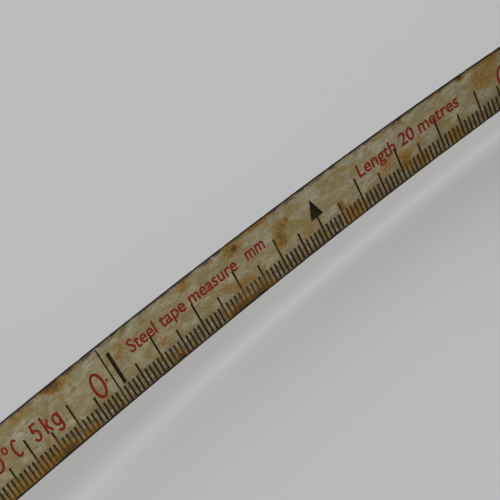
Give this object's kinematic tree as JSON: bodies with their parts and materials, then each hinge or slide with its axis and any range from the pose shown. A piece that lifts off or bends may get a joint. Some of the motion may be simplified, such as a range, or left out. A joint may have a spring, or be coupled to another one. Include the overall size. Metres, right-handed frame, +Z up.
{
  "type": "steel measuring tape",
  "caption": "Hand-wound steel measuring tape in a round leather-covered case, with a folding winding handle and the enamelled end of its blade drawn out.",
  "frame": {"origin": "drum axis on the plane that the case rests on", "axes": "+Z up along the drum axis; the blade leaves the case towards -X; +Y is the side of the case that holds the mouthpiece"},
  "size_m": [0.2957, 0.1021, 0.0346],
  "materials": {
    "leathercloth": "black pebble-grained leathercloth, semi-gloss",
    "welt_leather": "dark brown waxed leather",
    "shell_steel": "black japanned sheet steel",
    "nickel": "worn nickel plate",
    "plain_steel": "turned steel",
    "brass": "tarnished brass",
    "blade_enamel": "aged cream enamel on spring steel"
  },
  "bodies": {
    "case": {"case_cup": "shell_steel", "case_lid": "shell_steel", "cover_back": "leathercloth", "cover_front": "leathercloth", "cover_rim": "leathercloth", "welt_back": "welt_leather", "welt_front": "welt_leather", "front_bush": "nickel", "axle_post": "plain_steel", "friction_washer": "plain_steel", "back_cap": "nickel", "mouthpiece": "nickel", "mouth_rivets": "nickel", "roller_pins": "plain_steel"},
    "drum": {"drum_barrel": "shell_steel", "drum_flange_back": "shell_steel", "drum_flange_front": "shell_steel", "flange_rivets": "nickel", "blade_anchor_screw": "plain_steel", "blade_wound": "blade_enamel", "winding_boss": "nickel", "boss_screws": "nickel", "detent_spring": "plain_steel", "handle_pin": "plain_steel"},
    "handle": {"handle_arm": "nickel", "knob_pin": "nickel"},
    "knob": {"handle_knob": "brass"},
    "roller_inner": {"roller_inner": "plain_steel"},
    "roller_outer": {"roller_outer": "plain_steel"},
    "blade": {"blade_free": "blade_enamel", "end_clip": "brass", "end_rivets": "brass"},
    "ring": {"end_ring": "brass"}
  },
  "joints": [
    {"name": "drum_turn", "type": "hinge", "parent": "case", "child": "drum", "pos_m": [0, 0, 0.011], "axis": [0, 0, 1], "range_deg": [-23, 32]},
    {"name": "handle_fold", "type": "hinge", "parent": "drum", "child": "handle", "pos_m": [0.015, 0, 0.0243], "axis": [0, -1, 0], "range_deg": [0, 180]},
    {"name": "knob_spin", "type": "hinge", "parent": "handle", "child": "knob", "pos_m": [0.0405, 0, 0.03], "axis": [0, 0, 1], "continuous": true},
    {"name": "roller_inner_spin", "type": "hinge", "parent": "case", "child": "roller_inner", "pos_m": [-0.0325, 0.04212, 0.011], "axis": [0, 0, 1], "range_deg": [-900, 900]},
    {"name": "roller_outer_spin", "type": "hinge", "parent": "case", "child": "roller_outer", "pos_m": [-0.0325, 0.04587, 0.011], "axis": [0, 0, 1], "range_deg": [-900, 900]},
    {"name": "blade_slide", "type": "slide", "parent": "case", "child": "blade", "axis": [1, 0, 0], "range_m": [-0.025, 0.018]},
    {"name": "ring_swing", "type": "hinge", "parent": "blade", "child": "ring", "pos_m": [-0.22729, 0.02332, 0.01493], "axis": [-0.0542, 0.4801, 0.8755], "range_deg": [-165, 165]}
  ],
  "couplings": [
    {"joint": "blade_slide", "follows": "drum_turn", "m_per_rad": -0.043949},
    {"joint": "roller_inner_spin", "follows": "drum_turn", "ratio": 27.468},
    {"joint": "roller_outer_spin", "follows": "drum_turn", "ratio": -27.468}
  ]
}
